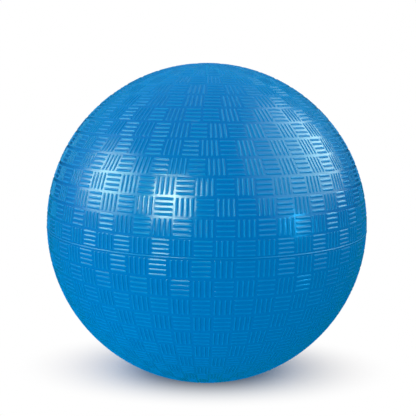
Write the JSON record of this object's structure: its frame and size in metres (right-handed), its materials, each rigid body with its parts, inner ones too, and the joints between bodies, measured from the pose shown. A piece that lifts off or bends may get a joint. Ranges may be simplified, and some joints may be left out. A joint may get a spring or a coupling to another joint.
{
  "type": "dodgeball",
  "caption": "Round inflatable rubber dodgeball: halves of a moulded basket-weave cover meet at a raised bead, over a wound carcass, a bladder and a needle valve.",
  "frame": {"origin": "centre of the ball", "axes": "+Z along the ball's axis, out through the valve at the top; the parting bead lies in the XY plane; the pictured side faces -Y"},
  "size_m": [0.2289, 0.2288, 0.2284],
  "materials": {
    "cover_rubber": "glossy moulded blue rubber with a raised basket weave",
    "nylon_thread": "wound nylon thread set in latex",
    "bladder_rubber": "matt black butyl rubber",
    "patch_gum": "matt brown gum rubber",
    "valve_rubber": "satin black moulded rubber",
    "core_rubber": "soft satin black rubber"
  },
  "bodies": {
    "root": {"upper_cover": "cover_rubber", "lower_cover": "cover_rubber", "nylon_winding": "nylon_thread", "bladder": "bladder_rubber", "valve_patch": "patch_gum", "valve_housing": "valve_rubber", "valve_core": "core_rubber"}
  },
  "joints": []
}
